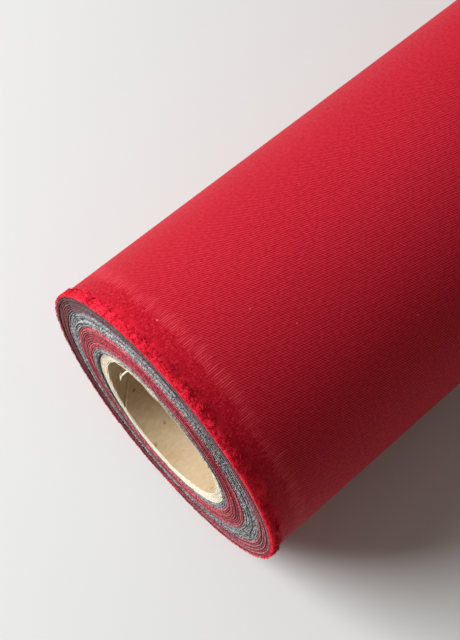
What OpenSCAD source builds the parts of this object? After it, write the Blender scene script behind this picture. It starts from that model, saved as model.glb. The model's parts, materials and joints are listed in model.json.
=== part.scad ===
// Roll of woven cloth on a spiral-wound cardboard core.
// X runs along the roll, +Z is up and +Y is the back. The origin is on the core's axis, at mid length.
// Angles round the roll start at the front (-Y) and run over the top to the back.

/* [Core] */
// Inside diameter of the cardboard core
core_bore_d = 50.8; // [50:0.1:54]
// Thickness of one paper ply of the core's wall
ply_t = 0.5; // [0.4:0.05:0.6]
// Length of core that stands out of the cloth at each end
core_out = 0; // [0:0.5:20]

/* [Cloth] */
// Width of the cloth, which is the length of the wound roll
cloth_w = 1500; // [300:10:3000]
// Thickness of the cloth
cloth_t = 0.6; // [0.4:0.05:0.65]
// Radius that each turn adds, which is the cloth and the air on it
turn_pitch = 0.72; // [0.7:0.01:0.9]
// How far the outer turns lie in front of the core's axis
pack_drift = 0; // [0:0.5:3]
// Height that the last turn loses where it lies flat on a table
flat_sag = 0.64; // [0.4:0.02:1]
// How far a group of turns has slipped along the roll, at most
slip = 0.6; // [0:0.1:1]

/* [Tail] */
// Where the loose tail leaves the last turn
tail_start = 150; // [130:5:150]
// Part of a turn that one stretch of the tail covers
tail_step = 15; // [10:1:15]
// Air between the tail and the turn under it
tail_air = 0.3; // [0.3:0.05:0.5]
// Gap between two stretches of the tail
tail_gap = 0.2; // [0.1:0.1:0.4]

/* [Edges] */
// Length of the loose yarn ends along each edge of the last turn
fringe_l = 4.5; // [2:0.5:8]
// Width of the dense selvedge band behind the yarn ends
selvedge_w = 9; // [5:1:15]

/* [Start tape] */
// Width of the double-sided cloth tape that holds the cloth's start to the core
tape_w = 25; // [15:5:40]
// Thickness of that tape
tape_t = 0.35; // [0.3:0.05:0.45]
// Middle of the tape, round the roll
tape_at = 250; // [0:10:350]

/* [Hidden] */

turns = 30;
round_turns = 12;
core_plies = 7;
tail_parts = 6;

core_r = core_bore_d / 2 + core_plies * ply_t;
core_l = cloth_w + 2 * core_out;
roll_r = core_r + turns * turn_pitch;
tail_end = tail_start + tail_parts * tail_step;
far_away = 3 * roll_r;

IVORY = [0.89, 0.82, 0.71];
KRAFT = [0.72, 0.60, 0.45];
RED = [0.72, 0.07, 0.14];
FRINGE_RED = [0.85, 0.08, 0.12];
GREY = [0.42, 0.42, 0.45];
TAPE = [0.93, 0.91, 0.85];

$fn = 180;

// Size and place of the circle round a number of turns
function turn_r(k) = core_r + k * turn_pitch;
function drift(k) = -pack_drift * k / turns;
function sag(k) = k < round_turns ? 0 : flat_sag * pow(k / turns, 2);

// A point at an angle round a circle, in the plane across the roll
function around(r, a, y) = [y - r * cos(a), r * sin(a)];

// Gap angle that a width makes on the last turn
function arc_deg(w) = w / roll_r * 180 / PI;

// Stands an outline across the roll and draws it along X, between two ends
module along(x0, x1) {
    translate([x0, 0, 0])
        rotate([90, 0, 90])
            linear_extrude(x1 - x0)
                children();
}

// A slice of the plane between two angles, seen from the last turn's middle
module slice(a0, a1) {
    steps = ceil((a1 - a0) / 30);
    polygon(concat(
        [[-pack_drift, 0]],
        [for (i = [0:steps]) around(far_away, a0 + (a1 - a0) * i / steps, -pack_drift)]
    ));
}

// The outline that encloses the core and k turns. Only the outer turns are flat at the bottom.
module outline(k) {
    difference() {
        translate([drift(k), 0])
            circle(turn_r(k));
        if (sag(k) > 0)
            translate([-far_away, sag(k) - turn_r(k) - far_away])
                square([2 * far_away, far_away]);
    }
}

module ply(number, shade) {
    r0 = core_bore_d / 2 + (number - 1) * ply_t;
    color(shade)
        along(-core_l / 2, core_l / 2)
            difference() {
                circle(r0 + ply_t);
                circle(r0);
            }
}

// Outline of the tape, as it lies on the core
module tape_outline() {
    half = tape_w / 2 / core_r * 180 / PI;
    intersection() {
        difference() {
            circle(core_r + tape_t);
            circle(core_r);
        }
        translate([pack_drift, 0])
            slice(tape_at - half, tape_at + half);
    }
}

module start_tape() {
    color(TAPE)
        along(-cloth_w / 2, cloth_w / 2)
            tape_outline();
}

module first_turn() {
    color(GREY)
        along(-cloth_w / 2, cloth_w / 2)
            difference() {
                outline(1);
                circle(core_r);
                tape_outline();
            }
}

// Turns k0 + 1 to k1 as one wound sleeve, slipped along the roll
module sleeve(k0, k1, x_slip, shade) {
    color(shade)
        along(x_slip - cloth_w / 2, x_slip + cloth_w / 2)
            difference() {
                outline(k1);
                outline(k0);
            }
}

// The sleeve under the tail, cut back so that the tail lies on air
module turns_26_to_29() {
    tail_floor = roll_r - cloth_t - tail_air;
    edge = arc_deg(tail_gap);
    color(RED)
        along(-cloth_w / 2, cloth_w / 2)
            difference() {
                outline(29);
                outline(25);
                difference() {
                    slice(tail_start - edge, tail_end + edge);
                    translate([-pack_drift, 0])
                        circle(tail_floor);
                }
            }
}

// A stretch of the last turn between two ends, without the tail's part of it
module last_turn_between(x0, x1) {
    along(x0, x1)
        difference() {
            outline(turns);
            outline(turns - 1);
            slice(tail_start - arc_deg(tail_gap), tail_end + arc_deg(tail_gap));
        }
}

module last_turn() {
    half = cloth_w / 2 - fringe_l - selvedge_w;
    color(RED)
        last_turn_between(-half, half);
}

// The dense band and the yarn ends, at one end of the roll: side is -1 or 1
module selvedge(side) {
    inner = cloth_w / 2 - fringe_l - selvedge_w;
    outer = inner + selvedge_w;
    color(RED)
        last_turn_between(side < 0 ? -outer : inner, side < 0 ? -inner : outer);
}

module fringe(side) {
    inner = cloth_w / 2 - fringe_l;
    outer = cloth_w / 2;
    color(FRINGE_RED)
        last_turn_between(side < 0 ? -outer : inner, side < 0 ? -inner : outer);
}

// One stretch of the loose tail. It turns on its outer edge nearest the roll.
module tail(number) {
    a0 = tail_start + (number - 1) * tail_step;
    a1 = a0 + tail_step - (number < tail_parts ? arc_deg(tail_gap) : 0);
    color(RED)
        along(-cloth_w / 2, cloth_w / 2)
            intersection() {
                translate([-pack_drift, 0])
                    difference() {
                        circle(roll_r);
                        circle(roll_r - cloth_t);
                    }
                slice(a0, a1);
            }
}

ply(1, KRAFT);  // core_liner_ply
ply(2, KRAFT);  // core_ply_2
ply(3, KRAFT);  // core_ply_3
ply(4, KRAFT);  // core_ply_4
ply(5, KRAFT);  // core_ply_5
ply(6, KRAFT);  // core_ply_6
ply(core_plies, IVORY);  // core_face_ply
start_tape();
first_turn();
sleeve(1, 4, slip, GREY);  // turns_2_to_4
sleeve(4, 12, -slip / 2, RED);  // turns_5_to_12
sleeve(12, 19, slip, GREY);  // turns_13_to_19
sleeve(19, 25, slip / 2, GREY);  // turns_20_to_25
turns_26_to_29();
last_turn();
selvedge(-1);  // near_selvedge
selvedge(1);  // far_selvedge
fringe(-1);  // near_fringe
fringe(1);  // far_fringe
tail(1);  // tail_1
tail(2);  // tail_2
tail(3);  // tail_3
tail(4);  // tail_4
tail(5);  // tail_5
tail(6);  // tail_6
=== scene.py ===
"""A roll of woven backdrop cloth on a cardboard core, built round its CAD frame.

Lengths are in metres: X runs along the roll, +Z is up and +Y is the back. Angles round the roll are in
radians, from 0 at the front (-Y) over the top to the back. A turn is a number from 0, the cloth's first
edge on the core, to TURNS, the free edge of its tail.
"""

import json
import math

import bpy
import numpy as np
from mathutils import Matrix, Vector


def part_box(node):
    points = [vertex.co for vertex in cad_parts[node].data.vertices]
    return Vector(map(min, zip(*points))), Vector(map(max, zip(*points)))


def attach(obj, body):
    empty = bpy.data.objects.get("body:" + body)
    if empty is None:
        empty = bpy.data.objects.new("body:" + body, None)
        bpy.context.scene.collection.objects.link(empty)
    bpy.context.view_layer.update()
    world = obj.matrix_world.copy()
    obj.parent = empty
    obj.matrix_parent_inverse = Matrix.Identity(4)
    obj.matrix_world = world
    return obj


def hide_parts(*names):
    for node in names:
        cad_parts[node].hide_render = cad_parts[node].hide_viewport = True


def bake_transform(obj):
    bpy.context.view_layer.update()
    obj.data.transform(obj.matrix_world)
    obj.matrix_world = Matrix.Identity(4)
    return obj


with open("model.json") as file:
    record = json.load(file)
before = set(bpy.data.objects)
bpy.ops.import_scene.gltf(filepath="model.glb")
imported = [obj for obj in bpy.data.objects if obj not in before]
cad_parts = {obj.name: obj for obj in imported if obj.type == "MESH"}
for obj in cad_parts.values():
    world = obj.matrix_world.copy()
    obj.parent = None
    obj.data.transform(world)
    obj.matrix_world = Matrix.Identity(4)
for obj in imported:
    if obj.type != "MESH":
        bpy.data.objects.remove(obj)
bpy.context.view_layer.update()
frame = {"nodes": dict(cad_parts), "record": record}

MM = 0.001

# ---- Sizes, from the frame ----
BORE_R = frame["record"]["mounts"][0]["dims"]["r_mm"] * MM
CORE_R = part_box("core_face_ply")[1][2]
CORE_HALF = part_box("core_face_ply")[1][0]
CLOTH_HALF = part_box("first_turn")[1][0]
ROLL_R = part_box("last_turn")[1][2]
TABLE_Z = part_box("last_turn")[0][2]
# How far behind the core's axis the last turn's middle lies
DRIFT_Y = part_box("last_turn")[0][1] + ROLL_R

# ---- Sizes of the cloth ----
TURNS = 30
CLOTH_T = 0.6 * MM
TAIL_STEP = math.radians(15)
TAIL_PARTS = 6
TAIL_START = math.radians(150)
TAIL_END = TAIL_START + TAIL_PARTS * TAIL_STEP
# Quads round one turn, where the face shows and inside the roll
SEGMENTS = 144
WOUND_SEGMENTS = 120
# The waves of the outer face grow in over one turn, from this many turns before the tail's end
OUTER_TURNS = 1.2


# ---- Seeded smooth noise ----
LINE_KNOTS, LINE_OFFSET = 4096, 1000
FIELD_KNOTS, FIELD_OFFSET = 512, 4000


def ease(part):
    """Smooth step from 0 to 1."""
    return part * part * (3 - 2 * part)


def wander(s, scale, seed):
    """Smooth noise from -1 to 1 along a length, with one knot every scale."""
    knots = np.random.default_rng(seed).uniform(-1, 1, LINE_KNOTS)
    place = np.asarray(s, float) / scale + LINE_OFFSET
    low = np.floor(place).astype(int)
    part = ease(place - low)
    return knots[low % LINE_KNOTS] * (1 - part) + knots[(low + 1) % LINE_KNOTS] * part


def field(u, v, scale, seed):
    """Smooth noise from 0 to 1 over a surface, with one knot every scale each way."""
    knots = np.random.default_rng(seed).uniform(0, 1, (FIELD_KNOTS, FIELD_KNOTS))
    a = np.asarray(u, float) / scale + FIELD_OFFSET
    b = np.asarray(v, float) / scale + FIELD_OFFSET
    i, j = np.floor(a).astype(int), np.floor(b).astype(int)
    a, b = ease(a - i), ease(b - j)
    i, next_i = i % FIELD_KNOTS, (i + 1) % FIELD_KNOTS
    j, next_j = j % FIELD_KNOTS, (j + 1) % FIELD_KNOTS
    low = knots[i, j] * (1 - a) + knots[next_i, j] * a
    high = knots[i, next_j] * (1 - a) + knots[next_i, next_j] * a
    return low * (1 - b) + high * b


def ripple(angle, seed, lowest, highest):
    """Smooth noise round a circle, about -1 to 1."""
    rng = np.random.default_rng(seed)
    total = np.zeros_like(np.asarray(angle, float))
    for k in range(lowest, highest + 1):
        total += rng.normal() * np.cos(k * angle + rng.uniform(0, 2 * math.pi))
    return total / math.sqrt(highest - lowest + 1) / 1.5


# ---- Shape of the wound cloth ----
def angle_at(t):
    """Angle round the roll of turn t."""
    return TAIL_END - 2 * math.pi * (TURNS - np.asarray(t, float))


def turn_at_angle(angle):
    """The last turn's place at an angle, up to the tail's end."""
    return TURNS - (TAIL_END - angle) / (2 * math.pi)


def radius_at(t):
    """Radius of the cloth's outer face."""
    inner = CORE_R + CLOTH_T
    return inner + (ROLL_R - inner) * np.asarray(t, float) / TURNS


def length_at(t):
    """Length of cloth from its first edge to turn t."""
    t = np.asarray(t, float)
    inner = CORE_R + CLOTH_T / 2
    return 2 * math.pi * (inner * t + (ROLL_R - CLOTH_T / 2 - inner) * t * t / 2 / TURNS)


def looseness(t, angle):
    """How far the pack bulges from true spiral, more in the outer turns and never at the table."""
    share = np.asarray(t, float) / TURNS
    wave = 0.6 * ripple(angle, 3, 2, 5) + 0.4 * ripple(angle + 0.5 * share, 4, 5, 11)
    off_table = 0.5 * (1 + np.sin(angle))
    return 0.22 * MM * share**2 * wave * off_table


def undulation(x, s):
    """Very shallow waves in the face of the outer turns."""
    long_wave = wander(x, 70 * MM, 11) * wander(s, 45 * MM, 12)
    short_wave = wander(x + 0.7 * s, 24 * MM, 13) * wander(s - 0.4 * x, 30 * MM, 14)
    return 0.06 * MM * long_wave + 0.03 * MM * short_wave


def on_cloth(t, x, depth):
    """A point of turn t, at x along the roll and at a depth under the outer face."""
    angle = angle_at(t)
    outer_part = np.clip(np.asarray(t, float) - (TURNS - OUTER_TURNS), 0, 1)
    bulge = looseness(t, angle) + outer_part * undulation(x, length_at(t))
    r = radius_at(t) + bulge - depth
    y = DRIFT_Y * np.asarray(t, float) / TURNS - r * np.cos(angle)
    z = np.maximum(r * np.sin(angle), TABLE_Z + CLOTH_T - depth)
    return np.stack(np.broadcast_arrays(np.asarray(x, float), y, z), axis=-1)


# The wound turns have slipped along the roll in groups: (last turn, slip along +X in mm)
SLIPS = [(4.2, 0.0), (9, -0.15), (13, 0.0), (17.5, 0.15), (22.5, 0.45), (28.6, 0.05), (31, -0.1)]


def core_lean(angle):
    """How far the core's near end lies along +X from the cloth's true edge: it is cut out of square."""
    return (-0.1 + 0.5 * np.sin(angle)) * MM


def pack_lean(angle):
    """The same for the edges of the first turns, which stand out past the core."""
    return (-0.75 - 0.15 * np.sin(angle)) * MM


def slip_at(t):
    """How far the cloth's edges at turn t lie along +X from their true place."""
    t = np.asarray(t, float)
    total = np.zeros_like(t)
    before = 0.0
    level = SLIPS[0][1]
    for last, slip in SLIPS:
        total += (slip - level) * np.clip((t - before) / 0.8 + 0.5, 0, 1)
        before, level = last, slip
    total += SLIPS[0][1]
    jitter = 0.20 * wander(t, 0.9, 21) + 0.10 * wander(length_at(t), 9 * MM, 22)
    calm = np.clip(TURNS - 0.8 - t, 0.15, 1)
    follow = np.clip(1 - t / 26, 0, 1) ** 1.3
    return (total + jitter * calm) * MM + follow * pack_lean(angle_at(t))


# ---- Meshes from arrays ----
class Builder:
    """Collects quads with a material, a weave place, a tint and normals, and makes one object of them."""

    def __init__(self):
        self.verts, self.quads, self.mats = [], [], []
        self.weave, self.tint, self.normals = [], [], []
        self.count = 0

    def add(self, verts, quads, mat, weave=None, tint=None, normals=None):
        """Points, quads of them and a material's index. What is not given gets a plain value."""
        verts = np.asarray(verts, float).reshape(-1, 3)
        quads = np.asarray(quads, int).reshape(-1, 4)
        n = len(verts)
        self.verts.append(verts)
        self.quads.append(quads + self.count)
        self.mats.append(np.full(len(quads), mat))
        self.weave.append(np.zeros((n, 2)) if weave is None else np.asarray(weave).reshape(-1, 2))
        self.tint.append(np.full((n, 3), 0.5) if tint is None else np.asarray(tint).reshape(-1, 3))
        self.normals.append(np.zeros((n, 3)) if normals is None else np.asarray(normals).reshape(-1, 3))
        self.count += n

    def make(self, name, materials):
        """The object, with only the materials that its quads use."""
        verts, quads = np.concatenate(self.verts), np.concatenate(self.quads)
        mesh = bpy.data.meshes.new(name)
        mesh.vertices.add(len(verts))
        mesh.vertices.foreach_set("co", verts.astype(np.float32).ravel())
        mesh.loops.add(quads.size)
        mesh.loops.foreach_set("vertex_index", quads.astype(np.int32).ravel())
        mesh.polygons.add(len(quads))
        mesh.polygons.foreach_set("loop_start", np.arange(0, quads.size, 4, dtype=np.int32))
        used, slots = np.unique(np.concatenate(self.mats), return_inverse=True)
        mesh.polygons.foreach_set("material_index", slots.ravel().astype(np.int32))
        mesh.polygons.foreach_set("use_smooth", np.ones(len(quads), bool))
        mesh.update(calc_edges=True)
        mesh.validate()
        uv = mesh.uv_layers.new(name="weave")
        uv.data.foreach_set("uv", np.concatenate(self.weave)[quads.ravel()].astype(np.float32).ravel())
        tint = np.ones((len(verts), 4), np.float32)
        tint[:, :3] = np.concatenate(self.tint)
        colour = mesh.color_attributes.new("tint", "FLOAT_COLOR", "POINT")
        colour.data.foreach_set("color", tint.ravel())
        normals = np.concatenate(self.normals)
        if np.any(normals):
            self.set_normals(mesh, verts, quads, normals)
        for index in used:
            mesh.materials.append(materials[int(index)])
        obj = bpy.data.objects.new(name, mesh)
        bpy.context.scene.collection.objects.link(obj)
        return obj

    @staticmethod
    def set_normals(mesh, verts, quads, normals):
        """Given normals where there are any, and each face's own elsewhere."""
        corner = normals[quads]
        own = np.cross(verts[quads[:, 2]] - verts[quads[:, 0]], verts[quads[:, 3]] - verts[quads[:, 1]])
        own /= np.maximum(np.linalg.norm(own, axis=1, keepdims=True), 1e-12)
        missing = np.linalg.norm(corner, axis=2) < 0.5
        corner[missing] = np.repeat(own[:, None, :], 4, axis=1)[missing]
        mesh.normals_split_custom_set(corner.reshape(-1, 3).tolist())


def grid_quads(rows, columns, wrap=False):
    """Quads of a grid of points, columns running fastest. wrap joins the last row to the first."""
    i = np.arange(rows if wrap else rows - 1)[:, None]
    j = np.arange(columns - 1)[None, :]
    a = i * columns + j
    b = ((i + 1) % rows) * columns + j
    return np.stack([a, a + 1, b + 1, b], axis=-1).reshape(-1, 4)


def unit(v):
    """Vectors at length 1."""
    return v / np.maximum(np.linalg.norm(v, axis=-1, keepdims=True), 1e-12)


def fibres(builder, paths, radii, mat, tint):
    """Thin four-sided tubes along paths (number, points, 3), with radii (number, points)."""
    n, k, _ = paths.shape
    tangent = unit(np.gradient(paths, axis=1))
    helper = np.where(np.abs(tangent[:, :1, :1]) > 0.8, [[[0.0, 0.0, 1.0]]], [[[1.0, 0.0, 0.0]]])
    side = unit(np.cross(tangent, helper))
    up = np.cross(side, tangent)
    ring = np.stack([side, up, -side, -up], axis=2)
    verts = paths[:, :, None, :] + ring * radii[:, :, None, None]
    start = (np.arange(n) * k * 4)[:, None, None]
    row = (np.arange(k - 1) * 4)[None, :, None]
    corner = np.arange(4)[None, None, :]
    a = start + row + corner
    b = start + row + (corner + 1) % 4
    walls = np.stack([a, b, b + 4, a + 4], axis=-1).reshape(-1, 4)
    tips = (np.arange(n) * k * 4 + (k - 1) * 4)[:, None] + np.arange(4)[None, :]
    butts = (np.arange(n) * k * 4)[:, None] + np.arange(3, -1, -1)[None, :]
    colours = np.repeat(np.asarray(tint).reshape(n, 1, 3), k * 4, axis=1)
    builder.add(verts, np.concatenate([walls, tips, butts]), mat, tint=colours)


# ---- Materials ----
class Graph:
    """Short ways to add nodes to a material."""

    def __init__(self, name):
        self.material = bpy.data.materials.new(name)
        self.material.use_nodes = True
        self.nodes = self.material.node_tree.nodes
        self.links = self.material.node_tree.links
        self.shader = self.nodes["Principled BSDF"]

    def put(self, socket, value):
        """Links a node's output to a socket, or sets a number or a colour on it."""
        if hasattr(value, "is_output"):
            self.links.new(value, socket)
        elif hasattr(value, "__len__") and len(value) == 3 and len(socket.default_value) == 4:
            socket.default_value = (*value, 1.0)
        else:
            socket.default_value = value

    def math(self, operation, a, b=0.0, c=0.0):
        node = self.nodes.new("ShaderNodeMath")
        node.operation = operation
        for socket, value in zip(node.inputs, (a, b, c)):
            self.put(socket, value)
        return node.outputs[0]

    def times(self, a, b):
        return self.math("MULTIPLY", a, b)

    def wave(self, phase):
        """A sine between 0 and 1."""
        return self.math("MULTIPLY_ADD", self.math("SINE", phase), 0.5, 0.5)

    def vector_math(self, operation, a, b):
        node = self.nodes.new("ShaderNodeVectorMath")
        node.operation = operation
        self.put(node.inputs[0], a)
        self.put(node.inputs[1], b)
        return node.outputs[0]

    def combine(self, x, y, z=0.0):
        node = self.nodes.new("ShaderNodeCombineXYZ")
        for socket, value in zip(node.inputs, (x, y, z)):
            self.put(socket, value)
        return node.outputs[0]

    def separate(self, vector):
        node = self.nodes.new("ShaderNodeSeparateXYZ")
        self.put(node.inputs[0], vector)
        return node.outputs

    def place(self):
        """Object coordinates, in metres."""
        return self.nodes.new("ShaderNodeTexCoord").outputs["Object"]

    def weave_place(self):
        """(distance from the near edge, length of cloth from its first edge), in metres."""
        node = self.nodes.new("ShaderNodeUVMap")
        node.uv_map = "weave"
        return node.outputs["UV"]

    def tint(self):
        node = self.nodes.new("ShaderNodeVertexColor")
        node.layer_name = "tint"
        return node.outputs["Color"]

    def noise(self, vector, scale, detail=2.0, roughness=0.5):
        node = self.nodes.new("ShaderNodeTexNoise")
        self.put(node.inputs["Vector"], vector)
        self.put(node.inputs["Scale"], scale)
        self.put(node.inputs["Detail"], detail)
        self.put(node.inputs["Roughness"], roughness)
        return node.outputs["Fac"]

    def white(self, vector):
        """Unsmoothed noise: one value from 0 to 1 for each place."""
        node = self.nodes.new("ShaderNodeTexWhiteNoise")
        self.put(node.inputs["Vector"], vector)
        return node.outputs["Value"]

    def spots(self, vector, scale):
        """Distance to the nearest of many scattered points."""
        node = self.nodes.new("ShaderNodeTexVoronoi")
        self.put(node.inputs["Vector"], vector)
        self.put(node.inputs["Scale"], scale)
        return node.outputs["Distance"]

    def between(self, value, low, high, to_low=0.0, to_high=1.0):
        """Smooth step of a value between low and high."""
        node = self.nodes.new("ShaderNodeMapRange")
        node.interpolation_type = "SMOOTHSTEP"
        for socket, item in zip(node.inputs, (value, low, high, to_low, to_high)):
            self.put(socket, item)
        return node.outputs[0]

    def mix(self, share, a, b, blend="MIX"):
        node = self.nodes.new("ShaderNodeMix")
        node.data_type = "RGBA"
        node.blend_type = blend
        self.put(node.inputs["Factor"], share)
        self.put(node.inputs[6], a)
        self.put(node.inputs[7], b)
        return node.outputs[2]

    def bump(self, height, distance, strength):
        node = self.nodes.new("ShaderNodeBump")
        self.put(node.inputs["Height"], height)
        self.put(node.inputs["Distance"], distance)
        self.put(node.inputs["Strength"], strength)
        return node.outputs["Normal"]

    def set(self, **values):
        """Sets or links the shader's sockets. Returns the material."""
        for name, value in values.items():
            self.put(self.shader.inputs[name.replace("_", " ")], value)
        return self.material


# Distance between the twill's ribs, the direction across them, and the length of a float in pitches
TWILL_PITCH = 0.645 * MM
TWILL_ACROSS = (0.887, 0.461)
FLOAT_LENGTH = 1.7


def twill(g, place):
    """Height of the twill's ribs and of the floats in each rib, 0 to 1."""
    u, v, _ = g.separate(place)
    across = g.math("ADD", g.times(u, TWILL_ACROSS[0]), g.times(v, TWILL_ACROSS[1]))
    along = g.math("SUBTRACT", g.times(v, TWILL_ACROSS[0]), g.times(u, TWILL_ACROSS[1]))
    waver = g.times(g.math("SUBTRACT", g.noise(place, 160), 0.5), 1.6)
    phase = g.math("MULTIPLY_ADD", across, 2 * math.pi / TWILL_PITCH, waver)
    step = g.math("MULTIPLY_ADD", along, 2 * math.pi / (TWILL_PITCH * FLOAT_LENGTH), g.times(phase, 0.5))
    return g.wave(phase), g.wave(step)


# The selvedge's pale floats: distance between rows, rows in a group, and where they begin behind the edge
STREAK_PITCH = 0.66 * MM
STREAK_GROUP = 3.4
STREAK_START = 7.6 * MM
# The plain band turns into twill between these distances from the edge
PLAIN_BAND = (9 * MM, 15 * MM)


def streaks(g, place, edge):
    """The selvedge's pale floats: short lines along the roll, in a band behind the edge."""
    _, v, _ = g.separate(place)
    row = g.math("FLOOR", g.math("DIVIDE", v, STREAK_PITCH))
    group = g.math("FLOOR", g.math("DIVIDE", v, STREAK_GROUP * STREAK_PITCH))
    shift = g.times(g.white(g.combine(group, 3.0)), 1.6 * MM)
    own = g.times(g.white(g.combine(row, 7.0)), 1.4 * MM)
    start = g.math("ADD", g.math("ADD", shift, own), STREAK_START)
    within = g.math("SUBTRACT", edge, start)
    length = g.math("MULTIPLY_ADD", g.white(g.combine(row, 9.0)), 2.6 * MM, 4.4 * MM)
    head = g.between(within, 0.0, 1.8 * MM)
    foot = g.between(g.math("SUBTRACT", length, within), 0.0, 2.8 * MM)
    in_row = g.math("FRACT", g.math("DIVIDE", v, STREAK_PITCH))
    line = g.between(g.math("ABSOLUTE", g.math("SUBTRACT", in_row, 0.5)), 0.34, 0.10)
    shown = g.math("MULTIPLY_ADD", g.white(g.combine(row, 11.0)), 0.85, 0.15)
    return g.times(g.times(g.times(head, foot), line), shown)


def cloth_face():
    """The red face: twill, with a plain band of knots by each edge and pale floats between the two."""
    g = Graph("cloth_face")
    place = g.weave_place()
    u, _, _ = g.separate(place)
    edge = g.math("MINIMUM", u, g.math("SUBTRACT", 2 * CLOTH_HALF, u))
    rib, floats = twill(g, place)
    body = g.between(edge, *PLAIN_BAND)
    worn = g.between(g.noise(place, 900, 2.0), 0.3, 0.7, 0.45, 1.0)
    weave = g.math("MULTIPLY_ADD", floats, 0.28, g.times(g.times(rib, worn), 0.69))
    colour = g.mix(weave, (0.255, 0.001, 0.006), (0.68, 0.034, 0.062))
    pips = g.times(g.between(g.spots(place, 1300), 0.46, 0.15), worn)
    knots = g.between(g.noise(place, 1500, 1.0), 0.35, 0.65)
    plain = g.mix(g.times(knots, 0.6), (0.33, 0.003, 0.012), (0.52, 0.016, 0.032))
    plain = g.mix(g.times(pips, 0.7), plain, (0.66, 0.034, 0.058))
    colour = g.mix(body, plain, colour)
    streak = streaks(g, place, edge)
    colour = g.mix(g.times(streak, 0.75), colour, (0.76, 0.080, 0.115))
    cloud = g.noise(place, 26, 3.0)
    colour = g.mix(g.between(cloud, 0.3, 0.7, 0.0, 0.10), colour, (0.30, 0.004, 0.010))
    speck = g.between(g.spots(place, 150), 0.055, 0.02)
    rare = g.math("GREATER_THAN", g.noise(place, 120, 0.0), 0.62)
    colour = g.mix(g.times(g.times(speck, rare), 0.6), colour, (0.80, 0.42, 0.40))
    height = g.math("ADD", g.times(weave, body), g.times(streak, 1.4))
    height = g.math("ADD", height, g.times(g.noise(place, 2400, 2.0), 0.4))
    rough = g.between(g.noise(place, 800, 2.0), 0.3, 0.7, 0.58, 0.74)
    g.set(Base_Color=colour, Roughness=rough, Normal=g.bump(height, 0.06 * MM, 0.7))
    g.set(Specular_IOR_Level=0.15, Specular_Tint=(1.0, 0.12, 0.18))
    return g.set(Sheen_Weight=0.03, Sheen_Roughness=0.4, Sheen_Tint=(1.0, 0.42, 0.45))


def cloth_back():
    """The grey back, with the same twill and a little lint."""
    g = Graph("cloth_back")
    place = g.weave_place()
    rib, floats = twill(g, place)
    weave = g.times(rib, floats)
    colour = g.mix(weave, (0.085, 0.085, 0.095), (0.20, 0.20, 0.215))
    colour = g.mix(g.between(g.noise(place, 700, 3.0), 0.45, 0.75, 0.0, 0.6), colour, (0.32, 0.32, 0.33))
    rough = g.between(g.noise(place, 500, 2.0), 0.3, 0.7, 0.78, 0.92)
    g.set(Base_Color=colour, Roughness=rough, Normal=g.bump(weave, 0.05 * MM, 0.7))
    return g.set(Specular_IOR_Level=0.25, Sheen_Weight=0.25, Sheen_Roughness=0.5)


def cloth_edge():
    """The cut edge and the first millimetre of each turn, in the turn's own tint."""
    g = Graph("cloth_edge")
    place = g.place()
    tint = g.tint()
    grain = g.noise(place, 1500, 2.0, 0.7)
    shadow = g.mix(1.0, tint, (0.12, 0.10, 0.11), "MULTIPLY")
    colour = g.mix(g.between(grain, 0.38, 0.60, 0.0, 0.75), tint, shadow)
    ends = g.noise(g.vector_math("ADD", place, (1.0, 2.0, 3.0)), 1700, 1.0)
    pale = g.mix(0.22, g.mix(1.0, tint, (1.5, 1.5, 1.5), "MULTIPLY"), (0.75, 0.70, 0.70))
    colour = g.mix(g.between(ends, 0.60, 0.74, 0.0, 0.5), colour, pale)
    rough = g.between(grain, 0.3, 0.7, 0.75, 0.95)
    g.set(Base_Color=colour, Roughness=rough, Normal=g.bump(grain, 0.15 * MM, 0.8))
    return g.set(Specular_IOR_Level=0.15, Sheen_Weight=0.1, Sheen_Roughness=0.5)


def yarn(name, dark, light, sheen_tint):
    """Loose yarn: each end has its own shade in the tint's first channel, which in the fleece and the
    fringe also holds painted shade and highlight.
    """
    g = Graph(name)
    shade, _, _ = g.separate(g.tint())
    colour = g.mix(shade, dark, light)
    fine = g.noise(g.place(), 1800, 2.0)
    colour = g.mix(g.between(fine, 0.35, 0.7, 0.0, 0.25), colour, dark)
    rough = g.between(fine, 0.3, 0.7, 0.6, 0.8)
    g.set(Base_Color=colour, Roughness=rough, Normal=g.bump(fine, 0.04 * MM, 0.6))
    g.set(Specular_IOR_Level=0.1, Specular_Tint=sheen_tint)
    return g.set(Sheen_Weight=0.05, Sheen_Roughness=0.4, Sheen_Tint=sheen_tint)


def kraft():
    """The liner's brown paper, with clouds, brown flecks and grit."""
    g = Graph("core_kraft")
    place = g.place()
    fibre = g.noise(g.vector_math("MULTIPLY", place, (420, 900, 900)), 1.0, 3.0, 0.6)
    colour = g.mix(g.between(fibre, 0.3, 0.7), (0.42, 0.305, 0.17), (0.49, 0.365, 0.22))
    cloud = g.noise(place, 70, 3.0)
    colour = g.mix(g.between(cloud, 0.35, 0.7, 0.0, 0.35), colour, (0.53, 0.425, 0.305))
    shift = g.vector_math("MULTIPLY", g.combine(fibre, fibre, fibre), (2 * MM, 2 * MM, 2 * MM))
    warped = g.vector_math("ADD", place, shift)
    fleck = g.between(g.spots(warped, 210), 0.20, 0.09)
    some = g.between(g.noise(place, 55, 1.0), 0.42, 0.52)
    colour = g.mix(g.times(g.times(fleck, some), 0.75), colour, (0.24, 0.125, 0.045))
    grit = g.between(g.spots(g.vector_math("ADD", place, (5.0, 1.0, 2.0)), 420), 0.10, 0.05, 0.0, 0.6)
    colour = g.mix(grit, colour, (0.30, 0.18, 0.085))
    rough = g.between(fibre, 0.3, 0.7, 0.72, 0.9)
    g.set(Base_Color=colour, Roughness=rough, Normal=g.bump(fibre, 0.02 * MM, 0.4))
    return g.set(Specular_IOR_Level=0.2)


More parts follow.
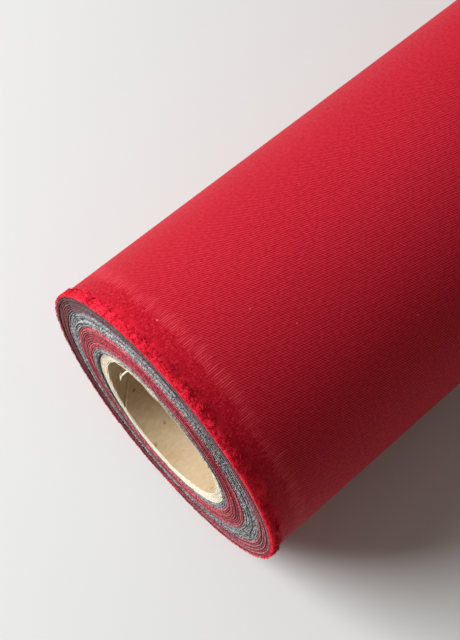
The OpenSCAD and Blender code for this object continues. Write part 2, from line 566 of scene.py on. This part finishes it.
def ivory(name, light=(0.77, 0.70, 0.585), dark=(0.62, 0.53, 0.39)):
    """Cut board and pale paper."""
    g = Graph(name)
    place = g.place()
    fibre = g.noise(place, 1400, 4.0, 0.7)
    colour = g.mix(g.between(fibre, 0.3, 0.7), dark, light)
    stain = g.between(g.noise(place, 180, 3.0), 0.55, 0.75, 0.0, 0.4)
    colour = g.mix(stain, colour, (0.55, 0.42, 0.27))
    rough = g.between(fibre, 0.3, 0.7, 0.7, 0.92)
    g.set(Base_Color=colour, Roughness=rough, Normal=g.bump(fibre, 0.1 * MM, 0.8))
    return g.set(Specular_IOR_Level=0.2)


def tape_cloth():
    """Pale cloth tape, ribbed across its length."""
    g = Graph("start_tape")
    u, _, _ = g.separate(g.place())
    thread = g.wave(g.times(u, 2 * math.pi / (0.6 * MM)))
    colour = g.mix(thread, (0.62, 0.58, 0.48), (0.80, 0.77, 0.68))
    grain = g.noise(g.place(), 900, 3.0)
    colour = g.mix(g.between(grain, 0.4, 0.7, 0.0, 0.4), colour, (0.5, 0.46, 0.38))
    rough = g.between(grain, 0.3, 0.7, 0.5, 0.7)
    return g.set(Base_Color=colour, Roughness=rough, Normal=g.bump(thread, 0.05 * MM, 0.6))


FACE = cloth_face()
BACK = cloth_back()
EDGE = cloth_edge()
RED_YARN = yarn("fringe_yarn", (0.32, 0.002, 0.008), (0.88, 0.026, 0.058), (1.0, 0.1, 0.14))
GREY_YARN = yarn("grey_yarn_ends", (0.010, 0.010, 0.014), (0.68, 0.67, 0.68), (0.9, 0.9, 1.0))
PINK_YARN = yarn("pink_yarn_ends", (0.10, 0.006, 0.012), (0.52, 0.09, 0.115), (1.0, 0.7, 0.7))
KRAFT = kraft()
IVORY = ivory("core_cut_board")
FACE_PAPER = ivory("core_face_paper", (0.84, 0.78, 0.68), (0.71, 0.63, 0.50))
TAPE = tape_cloth()
CLOTH_MATERIALS = [FACE, BACK, EDGE, RED_YARN, GREY_YARN, PINK_YARN]
M_FACE, M_BACK, M_EDGE, M_RED, M_GREY, M_PINK = range(6)

# ---- Tints of the turns' edges ----
GREY_TINT = (0.34, 0.345, 0.355)
PALE_GREY_TINT = (0.52, 0.46, 0.465)
RED_TINT = (0.44, 0.026, 0.050)
PALE_RED_TINT = (0.60, 0.085, 0.115)
MAROON_TINT = (0.24, 0.030, 0.042)
# Painted shade for the outer zone's edges at the top, and painted light for them at the front
TOP_SHADE_TINT = (0.17, 0.105, 0.12)
FRONT_LIGHT_TINT = (0.46, 0.105, 0.128)
# (last turn of the zone, how far that varies round the roll, tint)
EDGE_ZONES = [
    (3.2, 0.5, GREY_TINT),
    (6.9, 0.0, PALE_RED_TINT),
    (7.3, 0.0, MAROON_TINT),
    (10.4, 0.2, RED_TINT),
    (10.8, 0.2, MAROON_TINT),
    (13.6, 0.4, PALE_RED_TINT),
    (14.3, 0.3, PALE_GREY_TINT),
    (21.6, 0.5, GREY_TINT),
    (29.2, 0.0, MAROON_TINT),
    (31.0, 0.0, RED_TINT),
]
# The zones' limits lie farthest out at this angle
ZONES_FARTHEST = math.radians(155)
# The last turns of the inner, the middle and the outer zones
INNER_ZONES, MIDDLE_ZONES, OUTER_ZONES = 13.8, 21.6, 29.2
STRIPE_TURNS = 1.85


def edge_tint(t):
    """Tint of the cut edge at turn t: its zone's, striped. The outer zone has painted shade at the top,
    greyer and darker, and painted light at the front, pinker and brighter."""
    t = np.asarray(t, float)
    colour = np.zeros(t.shape + (3,))
    side = np.cos(angle_at(t) - ZONES_FARTHEST)
    before = np.full_like(t, -1.0)
    for last, change, tint in EDGE_ZONES:
        limit = last + change * side
        colour[(t >= before) & (t < limit)] = tint
        before = np.maximum(before, limit)
    # Painted shade: the outer zone's edges turn greyer and darker towards the top
    up = np.clip(np.sin(angle_at(t)) * 1.5 - 0.3, 0, 1) * np.clip((t - 20.5) / 1.5, 0, 1)
    up = up * (t < OUTER_ZONES)
    colour = colour + (np.array(TOP_SHADE_TINT) - colour) * up[..., None]
    # Painted light: the outer zone's edges turn pinker and brighter towards the lower front
    low = np.clip(1.3 * np.cos(angle_at(t) + math.radians(20)) - 0.3, 0, 1)
    low = low * (t > MIDDLE_ZONES) * (t < OUTER_ZONES)
    colour = colour + (np.array(FRONT_LIGHT_TINT) - colour) * low[..., None]
    stripe = np.cos(2 * math.pi * t / STRIPE_TURNS + 1.2 * wander(t, 2.0, 33))
    strength = 1 + 0.35 * wander(t, 0.5, 31) + 0.2 * wander(length_at(t), 6 * MM, 32)
    striped = np.where(t > MIDDLE_ZONES, 0.62, np.where(t > INNER_ZONES, 0.40, 0.24))
    strength = strength * (1 + striped * np.clip(stripe - 0.15, -1, 0.9))
    return np.clip(colour * strength[..., None], 0, 1)


# ---- Cloth ----
# Places inward from each edge that look like cut edge
EDGE_STATIONS = [0.0, 0.35 * MM, 1.3 * MM]
ROUND_EDGE = 0.12 * MM
SMALL = 1e-4


def face_points(tt, x, dd, depth, sign):
    """Points and normals of one face at a depth: sign is 1 for the outer face and -1 for the inner."""
    round_edge = ROUND_EDGE * (dd < 1e-6) + ROUND_EDGE * (dd > 2 * CLOTH_HALF - 1e-6)
    spot = on_cloth(tt, x, depth + sign * round_edge)
    by_t = on_cloth(tt + SMALL, x, depth) - on_cloth(tt - SMALL, x, depth)
    by_x = on_cloth(tt, x + SMALL, depth) - on_cloth(tt, x - SMALL, depth)
    return spot, sign * unit(np.cross(by_x, by_t))


def close_side(builder, outer, inner, flip, tint):
    """A strip of cut edge between two lines of points, one on each face."""
    quads = grid_quads(len(outer), 2)
    quads = quads[:, ::-1] if flip else quads
    tint = np.repeat(tint[:, None, :], 2, axis=1)
    builder.add(np.stack([outer, inner], axis=1), quads, M_EDGE, tint=tint)


def cloth_patch(builder, t0, t1, columns, inner_stations):
    """A stretch of the cloth from turn t0 to t1, with both faces, both edges and closed ends."""
    near = np.array(EDGE_STATIONS)
    width_place = np.concatenate([near, inner_stations, 2 * CLOTH_HALF - near[::-1]])
    rows = len(width_place)
    tt, dd = np.meshgrid(np.linspace(t0, t1, columns + 1), width_place, indexing="ij")
    x = -CLOTH_HALF + slip_at(tt) + dd
    weave = np.stack([dd, length_at(tt)], axis=-1)
    tint = edge_tint(tt)
    outer, outer_normal = face_points(tt, x, dd, 0.0, 1.0)
    inner, inner_normal = face_points(tt, x, dd, CLOTH_T, -1.0)
    out_quads = grid_quads(columns + 1, rows)
    lane = np.tile(np.arange(rows - 1), columns)
    at_edge = (lane < len(near) - 1) | (lane >= rows - len(near))
    for spot, normal, quads, mat in (
        (outer, outer_normal, out_quads, M_FACE),
        (inner, inner_normal, out_quads[:, ::-1], M_BACK),
    ):
        start = builder.count
        builder.add(spot, quads[~at_edge], mat, weave, tint, normal)
        builder.quads.append(quads[at_edge] + start)
        builder.mats.append(np.full(np.count_nonzero(at_edge), M_EDGE))
    for place, flip in ((0, True), (rows - 1, False)):
        close_side(builder, outer[:, place], inner[:, place], flip, tint[:, place])
    for place, flip in ((0, False), (columns, True)):
        close_side(builder, outer[place], inner[place], flip, tint[place])


def outward(angle):
    """Direction away from the axis."""
    return np.stack([np.zeros_like(angle), -np.cos(angle), np.sin(angle)], axis=-1)


def round_way(angle):
    """Direction of growing angle."""
    return np.stack([np.zeros_like(angle), np.sin(angle), np.cos(angle)], axis=-1)


def turn_length():
    """Length of the last turn."""
    return float(length_at(TURNS) - length_at(TURNS - 1))


def pile(angle):
    """How high the yarn ends stand: pressed flat at the back."""
    return 0.45 + 0.55 * np.clip(0.35 + np.cos(angle - math.radians(40)), 0, 1)


FLEECE_STEP = 0.26 * MM
# Places of the fleece's points inward from the edge, in mm
FLEECE_PLACES = np.concatenate([[0.0, 0.08], np.linspace(0.2, 5.8, 23)])


def grey3(shade):
    """A shade as a tint of three equal channels."""
    return np.stack([shade] * 3, axis=-1)


def cloth_length(t0, t1):
    """Length of cloth between two turns."""
    return float(length_at(t1) - length_at(t0))


def fleece(builder, t0, t1, side, seed):
    """The bed of matted yarn ends along one edge of the last turn: side is -1 or 1."""
    rows = max(3, int(cloth_length(t0, t1) / FLEECE_STEP))
    t, d = np.meshgrid(np.linspace(t0, t1, rows), FLEECE_PLACES, indexing="ij")
    around = length_at(t) / MM
    bend = 1.8 * (field(around, d, 2.2, seed) - 0.5)
    tufts = field(around + bend, 0.5 * d + bend, 1.25, seed + 2)
    strands = 1 - np.abs(2 * field(around + 1.3 * bend, 0.3 * d, 0.5, seed + 3) - 1)
    limit = 4.5 + 2.0 * (field(around, d * 0, 2.6, seed + 4) - 0.4)
    body = np.clip((limit - d) / 2.6, 0, 1) * np.clip(d / 0.5, 0, 1) ** 0.5
    height = body * (0.16 + pile(angle_at(t)) * (0.50 * tufts + 0.24 * strands)) - 0.03
    x = side * (CLOTH_HALF - d * MM) + slip_at(t)
    # Painted shade and highlight: lighter near the edge and on the tufts and strands, darker towards the
    # foot and in the valleys
    shade = (1.0 - 0.65 * np.clip(d / limit, 0, 1) ** 1.5) * (0.65 + 0.45 * tufts) + 0.25 * (strands - 0.5)
    quads = grid_quads(rows, len(FLEECE_PLACES))
    quads = quads[:, ::-1] if side > 0 else quads
    builder.add(on_cloth(t, x, -height * MM), quads, M_RED, tint=grey3(np.clip(shade, 0, 1)))


LOCK_PITCH = 1.15 * MM
FIBRES_PER_LOCK = 9
FIBRE_POINTS = 6


def fringe(builder, t0, t1, side, seed):
    """Fine curly yarn ends that stand out of the fleece, in locks. Sizes are in mm until the paths."""
    rng = np.random.default_rng(seed)
    locks = max(2, int(cloth_length(t0, t1) / LOCK_PITCH))
    n = locks * FIBRES_PER_LOCK
    lock = np.repeat(np.arange(locks), FIBRES_PER_LOCK)
    lock_t = t0 + (t1 - t0) * (np.arange(locks) + rng.uniform(0.0, 1.0, locks)) / locks
    run = np.linspace(0, 1, FIBRE_POINTS)[None, :]
    begin = rng.uniform(0.0, 3.9, (n, 1))
    reach = rng.uniform(1.0, 2.6, (n, 1))
    heading = rng.normal(0, 0.7, locks)[lock][:, None] + rng.normal(0, 0.45, (n, 1))
    turning = rng.uniform(0.6, 3.2, (n, 1)) * rng.choice([-1.0, 1.0, 1.0], locks)[lock][:, None]
    way = heading + turning * run
    step = reach / (FIBRE_POINTS - 1)
    from_edge = begin - np.cumsum(np.cos(way) * step, axis=1)
    from_edge = np.maximum(from_edge, -0.12 + 0.12 * rng.uniform(0, 1, (n, 1)))
    around_mm = rng.normal(0, 0.45, (n, 1)) + np.cumsum(np.sin(way) * step, axis=1)
    inner = np.clip((4.8 - begin) / 1.2, 0.25, 1)
    stand = pile(angle_at(lock_t))[lock][:, None]
    height = stand * inner * (0.45 + rng.uniform(-0.1, 0.4, (n, 1))) * np.sin(run * math.pi * 0.9)
    height = height + 0.12 + 0.3 * inner * stand - 0.6 * np.clip(0.15 - from_edge, 0, 1)
    t = np.clip(lock_t[lock][:, None] + around_mm * MM / turn_length(), t0, t1)
    x = side * (CLOTH_HALF - from_edge * MM) + slip_at(t)
    paths = on_cloth(t, x, -height * MM)
    thick = rng.uniform(0.055, 0.085, (n, 1)) * (1 - 0.6 * run**2) * MM
    # Painted shade: fibres that begin farther in from the edge are darker; each lock and fibre also has its
    # own random tone
    shade = 1.05 - 0.15 * begin[:, 0] + rng.uniform(-0.2, 0.1, locks)[lock] + rng.normal(0, 0.15, n)
    fibres(builder, paths, thick, M_RED, grey3(np.clip(shade, 0, 1)))


def rim_fuzz(builder, t0, t1, side, per_mm, mat, seed, reach, thin):
    """Short fibres that stand out of the cloth's edge along the roll. reach and thin are in mm."""
    rng = np.random.default_rng(seed)
    n = max(1, int(cloth_length(t0, t1) / MM * per_mm))
    t = rng.uniform(t0, t1, n)
    angle = angle_at(t)
    base = on_cloth(t, side * CLOTH_HALF + slip_at(t) - side * 0.15 * MM, rng.uniform(0.0, 0.5, n) * MM)
    along = np.array([side, 0.0, 0.0])
    lean = rng.normal(0, 0.55, n)[:, None] * outward(angle)
    lean = lean + rng.normal(0, 0.55, n)[:, None] * round_way(angle)
    first = unit(along + 0.6 * lean)
    second = unit(along + 1.6 * lean)
    size = (rng.uniform(0.45, 1.0, n) * reach * MM)[:, None]
    paths = np.stack([base, base + first * size * 0.5, base + (first + second) * size * 0.5], axis=1)
    radii = np.stack([np.full(n, thin), np.full(n, thin * 0.95), np.full(n, thin * 0.45)], axis=1) * MM
    radii = radii * rng.uniform(0.75, 1.25, n)[:, None]
    fibres(builder, paths, radii, mat, grey3(rng.uniform(0, 1, n) ** 1.3))


def frayed_end(builder, seed, n=1500):
    """Thread ends along the cut edge of the tail."""
    rng = np.random.default_rng(seed)
    x = rng.uniform(-CLOTH_HALF + 2 * MM, CLOTH_HALF - 2 * MM, n)
    run = np.linspace(0, 1, 4)[None, :]
    reach = rng.uniform(0.4, 1.9, (n, 1))
    t = TURNS + (reach * run - 0.3) * MM / turn_length()
    wave = rng.normal(0, 0.5, (n, 1)) * run**2
    depth = rng.uniform(0.05, 0.5, (n, 1)) + rng.uniform(-0.5, 0.0, (n, 1)) * run
    paths = on_cloth(t, x[:, None] + wave * MM, depth * MM)
    radii = np.full((n, 4), 0.07 * MM) * (1 - 0.5 * run)
    fibres(builder, paths, radii, M_RED, grey3(rng.uniform(0.1, 0.9, n)))


# The wound piece ends here, and the last turn's piece where the tail's first one begins
WOUND_END = TURNS - 1.1
LAST_ROOT_END = float(turn_at_angle(TAIL_START - TAIL_STEP / 2))
# Places of the points across the cloth's width, closer together by the edges
near_stations = np.array([4.5, 9.0]) * MM
middle_stations = np.linspace(15 * MM, 2 * CLOTH_HALF - 15 * MM, 110)
outer_stations = np.concatenate([near_stations, middle_stations, 2 * CLOTH_HALF - near_stations[::-1]])
wound_stations = [5 * MM, 2 * CLOTH_HALF - 5 * MM]
SIDES = ((-1, "near"), (1, "far"))

b = Builder()
cloth_patch(b, 0.0, WOUND_END, int(WOUND_END * WOUND_SEGMENTS), wound_stations)
wound = b.make("cloth_wound", CLOTH_MATERIALS)

b = Builder()
cloth_patch(b, WOUND_END, LAST_ROOT_END, int((LAST_ROOT_END - WOUND_END) * SEGMENTS), outer_stations)
last_turn = b.make("cloth_last_turn", CLOTH_MATERIALS)

fringes = []
for side, name in SIDES:
    b = Builder()
    fleece(b, TURNS - 1.0, LAST_ROOT_END, side, 40 + side)
    fringe(b, TURNS - 1.0, LAST_ROOT_END, side, 51 + side)
    rim_fuzz(b, TURNS - 1.05, LAST_ROOT_END, side, 3.0, M_PINK, 61 + side, reach=0.6, thin=0.06)
    fringes.append(b.make(f"fringe_{name}", CLOTH_MATERIALS))

# Yarn ends on the wound turns' edges: (first turn, last turn, material, number in a mm, thickness in mm)
ZONE_YARN = [
    (0.3, 3.0, M_GREY, 0.8, 0.085),
    (3.6, 13.6, M_PINK, 0.8, 0.06),
    (13.8, 21.4, M_GREY, 1.8, 0.085),
    (21.8, 28.9, M_PINK, 0.8, 0.06),
]
edge_ends = []
for side, name in SIDES:
    b = Builder()
    for index, (t0, t1, mat, per_mm, thin) in enumerate(ZONE_YARN):
        rim_fuzz(b, t0, t1, side, per_mm, mat, 80 + 10 * side + index, reach=0.75, thin=thin)
    edge_ends.append(b.make(f"edge_yarns_{name}", CLOTH_MATERIALS))

tails = []
for part in range(1, TAIL_PARTS + 1):
    joint_angle = TAIL_START + (part - 1) * TAIL_STEP
    a0 = joint_angle - TAIL_STEP / 2
    a1 = TAIL_END if part == TAIL_PARTS else joint_angle + TAIL_STEP / 2
    t0, t1 = float(turn_at_angle(a0)), float(turn_at_angle(a1))
    b = Builder()
    cloth_patch(b, t0, t1, max(6, round((t1 - t0) * SEGMENTS)), outer_stations)
    for side in (-1, 1):
        fleece(b, t0, t1, side, 40 + side)
        fringe(b, t0, t1, side, 200 + 10 * part + side)
        rim_fuzz(b, t0, t1, side, 3.0, M_PINK, 300 + 10 * part + side, reach=0.6, thin=0.06)
    if part == TAIL_PARTS:
        frayed_end(b, 400)
    tails.append((b.make(f"cloth_tail_{part}", CLOTH_MATERIALS), joint_angle))


# ---- Core ----
# Length of core in one turn of the seam, negative as it winds backwards, and its angle at the near end
SEAM_PITCH = -0.110
SEAM_START = math.radians(222)
SEAM_W, SEAM_D = 0.7 * MM, 0.3 * MM
# Points round a plain tube and round the liner, and places along each between the ends' own
RING_POINTS, LINER_POINTS = 192, 110
RING_STATIONS, LINER_STATIONS = 6, 420
# The ends are ragged over this length, and lean over the next one
RAG_RUN = 2.5 * MM
LEAN_RUN = 0.3
# Where the liner's near edge is torn outward, and how far along the tube that reaches
TORN_AT = math.radians(84)
TORN_RUN = 0.9 * MM


def ring_grid(r0, seam):
    """Angles round a tube, depth of the seam's groove at each, and places along the tube."""
    if seam:
        side_angle = SEAM_W / 2 / r0
        inside = np.linspace(0.06, 2 * math.pi - 0.06, LINER_POINTS)
        angle = np.concatenate([[0.0, side_angle], inside, [2 * math.pi - side_angle]])
    else:
        angle = np.linspace(0, 2 * math.pi, RING_POINTS, endpoint=False)
    dip = np.where(angle == 0.0, SEAM_D, 0.0) if seam else np.zeros_like(angle)
    steps = np.linspace(6, 2 * CORE_HALF / MM - 6, LINER_STATIONS if seam else RING_STATIONS)
    steps = np.concatenate([[0.0, 0.3, 0.9, 2.5], steps])
    steps = np.concatenate([steps, 2 * CORE_HALF / MM - steps[3::-1]]) * MM
    return angle, dip, steps


def ring_x(turned, step, seed, rough_rim, tear):
    """Where a tube's points lie along X, with ragged ends, a lean and a torn edge."""
    rag_near = ripple(turned, seed, 2, 9) * 0.5 + ripple(turned, seed + 1, 12, 48)
    rag_far = ripple(turned, seed + 2, 2, 9) * 0.5 + ripple(turned, seed + 3, 12, 48)
    ease_near = np.clip(1 - step / RAG_RUN, 0, 1)
    ease_far = np.clip(1 - (2 * CORE_HALF - step) / RAG_RUN, 0, 1)
    near_lean = core_lean(turned) + CORE_HALF - CLOTH_HALF
    x = -CORE_HALF + step + rough_rim * (np.abs(rag_near) * ease_near - np.abs(rag_far) * ease_far)
    x = x + near_lean * np.clip(1 - step / LEAN_RUN, 0, 1)
    torn = np.clip(2.2 * np.cos(turned - TORN_AT) - 1.2, 0, 1) * (0.5 + 0.6 * np.abs(rag_near))
    return x - tear * torn * np.clip(1 - step / TORN_RUN, 0, 1)


def ring_tube(builder, r0, r1, mat_in, mat_out, mat_rim, seed, rough_rim, seam=False, tear=0.0):
    """A tube with ragged ends. With a seam it is the liner: a groove winds along its inside face, where two
    strips of paper meet, and its outside face, which the next ply hides, is left out."""
    angle, dip, steps = ring_grid(r0, seam)
    rows = len(steps)
    shape = (len(angle), rows)
    step = np.broadcast_to(steps[None, :], shape)
    turned = np.broadcast_to(angle[:, None], shape)
    if seam:
        turned = turned + SEAM_START + 2 * math.pi * step / SEAM_PITCH
    x = ring_x(turned, step, seed, rough_rim, tear)
    rim = (steps < 1e-9) | (steps > 2 * CORE_HALF - 1e-9)
    chamfer = np.where(rim, 0.06 * MM, 0.0)[None, :]
    inner_r = r0 + dip[:, None] + chamfer + 0.03 * MM * ripple(turned, seed + 4, 3, 14) * seam
    outer_r = np.full(shape, r1) - chamfer

    def spot(r):
        return np.stack([x, -r * np.cos(turned), r * np.sin(turned)], axis=-1)

    inner, outer = spot(inner_r), spot(outer_r)
    quads = grid_quads(len(angle), rows, wrap=True)
    lane = np.tile(np.arange(rows - 1), len(angle))
    builder.add(inner, quads[lane > 0, ::-1], mat_in)
    builder.add(inner, quads[lane == 0, ::-1], mat_rim if tear else mat_in)
    if not seam:
        builder.add(outer, quads, mat_out)
    for row, flip in ((0, False), (rows - 1, True)):
        strip = np.stack([inner[:, row], outer[:, row]], axis=1)
        ends = grid_quads(len(angle), 2, wrap=True)
        builder.add(strip, ends[:, ::-1] if flip else ends, mat_rim)


def sliver(builder, mat):
    """A torn strip of the liner, as three strands, that curls across the near mouth of the bore."""
    spots = [(0.9, 12.9, 21.8), (-0.1, 13.9, 19.8), (-0.9, 15.1, 16.6), (-1.1, 15.9, 13.3)]
    spots += [(-0.9, 16.4, 11.2), (-0.5, 17.0, 10.5), (-0.1, 17.6, 11.1), (0.0, 17.7, 11.9)]
    path = np.array(spots) * MM + np.array([-CORE_HALF, 0.0, 0.0])
    for shift, thick in ((0.0, 0.34), (0.28, 0.26), (-0.25, 0.22)):
        strand = path + np.array([shift, 0.35 * shift, 0.0]) * MM
        taper = np.array([1.0, 0.9, 0.8, 0.9, 1.0, 0.9, 0.7, 0.4]) * thick * MM
        fibres(builder, strand[None], taper[None], mat, np.full((1, 3), 0.5))


PLIES = 7
PLY_T = (CORE_R - BORE_R) / PLIES
b = Builder()
ring_tube(b, BORE_R, BORE_R + PLY_T, 0, 0, 1, 500, 0.35 * MM, seam=True, tear=1.5 * MM)
sliver(b, 1)
liner = b.make("core_liner", [KRAFT, IVORY])

b = Builder()
for ply in range(1, PLIES - 1):
    ring_tube(b, BORE_R + ply * PLY_T, BORE_R + (ply + 1) * PLY_T, 0, 0, 0, 510 + 10 * ply, 0.16 * MM)
board = b.make("core_board", [IVORY])

b = Builder()
ring_tube(b, CORE_R - PLY_T, CORE_R, 1, 0, 1, 590, 0.12 * MM)
face_ply = b.make("core_face", [FACE_PAPER, IVORY])

# The tape is hidden and keeps its CAD shape
for material_slot in frame["nodes"]["start_tape"].material_slots:
    material_slot.material = TAPE

# ---- What stands for what ----
WOUND_NODES = ["first_turn", "turns_2_to_4", "turns_5_to_12"]
WOUND_NODES += ["turns_13_to_19", "turns_20_to_25", "turns_26_to_29"]
for piece, slot_name, nodes in (
    (wound, "cloth_back", WOUND_NODES),
    (last_turn, "cloth_face", ["last_turn", "near_selvedge", "far_selvedge"]),
    (fringes[0], "cloth_fringe", ["near_fringe"]),
    (fringes[1], "cloth_fringe", ["far_fringe"]),
    (edge_ends[0], "cloth_fringe", []),
    (edge_ends[1], "cloth_fringe", []),
    (liner, "core_kraft", ["core_liner_ply"]),
    (board, "core_kraft", ["core_ply_2", "core_ply_3", "core_ply_4", "core_ply_5", "core_ply_6"]),
    (face_ply, "core_face", ["core_face_ply"]),
):
    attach(piece, "roll")
    if nodes:
        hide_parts(*nodes)

# Each tail piece has its place baked into its mesh, and its CAD tail part is hidden
for index, (piece, joint_angle) in enumerate(tails):
    body_b = f"tail_{index + 1}"
    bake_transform(piece)
    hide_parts(body_b)

# ---- Floor, light and camera ----
FLOOR_HALF = 6.0
corners = [(x * FLOOR_HALF, y * FLOOR_HALF, TABLE_Z) for x, y in ((-1, -1), (1, -1), (1, 1), (-1, 1))]
floor_mesh = bpy.data.meshes.new("floor")
floor_mesh.from_pydata(corners, [], [(0, 1, 2, 3)])
floor = bpy.data.objects.new("floor", floor_mesh)
bpy.context.scene.collection.objects.link(floor)
g = Graph("floor")
g.set(Base_Color=(0.625, 0.64, 0.64), Roughness=0.62, Specular_IOR_Level=0.2)
floor_mesh.materials.append(g.material)

world = bpy.data.worlds.new("studio")
bpy.context.scene.world = world
world.use_nodes = True
background = world.node_tree.nodes["Background"]
background.inputs["Color"].default_value = (1.0, 0.89, 0.79, 1.0)
background.inputs["Strength"].default_value = 0.21


def softbox(name, place, aim, size, power, colour):
    """An area light of a power in watts, at a place and turned to an aim."""
    light = bpy.data.lights.new(name, "AREA")
    light.shape = "RECTANGLE"
    light.size, light.size_y = size
    light.energy = power
    light.color = colour
    lamp = bpy.data.objects.new(name, light)
    lamp.location = place
    lamp.rotation_euler = (Vector(aim) - Vector(place)).to_track_quat("-Z", "Y").to_euler()
    bpy.context.scene.collection.objects.link(lamp)


near_end = Vector((-CLOTH_HALF, DRIFT_Y, 0.0))
key_aim = near_end + Vector((0.1, 0, 0))
softbox("key", key_aim + Vector((-0.90, 0.90, 0.97)), key_aim, (1.0, 0.75), 44, (0.985, 0.995, 1.0))

# The camera looks down on the near end from 36 cm away
camera_data = bpy.data.cameras.new("camera")
camera_data.lens = 65.1
camera_data.sensor_width = 36.0
camera = bpy.data.objects.new("camera", camera_data)
camera_right = Vector((0.7457, -0.6664, 0.0)).normalized()
camera_back = Vector((-0.2960, -0.3311, 0.8961)).normalized()
camera_up = camera_back.cross(camera_right)
turned = Matrix((camera_right, camera_up, camera_back)).transposed()
camera.matrix_world = Matrix.Translation(near_end + Vector((-0.06906, -0.1093, 0.3322))) @ turned.to_4x4()
camera_data.clip_start = 0.01
camera_data.clip_end = 50
bpy.context.scene.collection.objects.link(camera)
bpy.context.scene.camera = camera
bpy.context.scene.view_settings.view_transform = "Standard"
